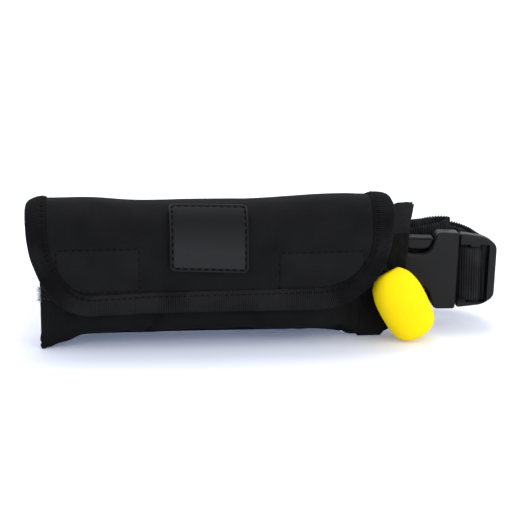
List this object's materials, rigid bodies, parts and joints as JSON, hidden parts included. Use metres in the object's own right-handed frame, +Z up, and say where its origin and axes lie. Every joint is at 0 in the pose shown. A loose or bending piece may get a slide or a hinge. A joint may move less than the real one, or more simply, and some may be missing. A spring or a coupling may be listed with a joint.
{
  "type": "inflatable belt pack",
  "caption": "Soft belt pack for an inflatable float: a hollow nylon pouch under a bound flap with a rubber patch, on a webbing waist belt with a side-release buckle and a pull toggle.",
  "frame": {"origin": "middle of the footprint's box, on the surface that the pack stands on", "axes": "+X along the pack towards its buckle, +Y from the flap's front towards the belt's loop, +Z up"},
  "size_m": [0.2542, 0.218, 0.0794],
  "materials": {
    "nylon": "plain weave",
    "grosgrain": "ribbed tape",
    "patch_rubber": "matt",
    "hook_tape": "hook pile",
    "loop_tape": "loop pile",
    "webbing": "ribbed webbing",
    "buckle_plastic": "satin",
    "toggle_foam": "foam",
    "cord": "braided"
  },
  "bodies": {
    "root": {"pouch": "nylon", "flap": "nylon", "flap_binding": "grosgrain", "label_patch": "patch_rubber", "hook_pad_left": "hook_tape", "hook_pad_right": "hook_tape", "loop_strip": "loop_tape", "belt_tunnel": "nylon", "belt": "webbing", "buckle_socket": "buckle_plastic", "buckle_plug": "buckle_plastic", "toggle": "toggle_foam", "pull_cord": "cord"}
  },
  "joints": []
}
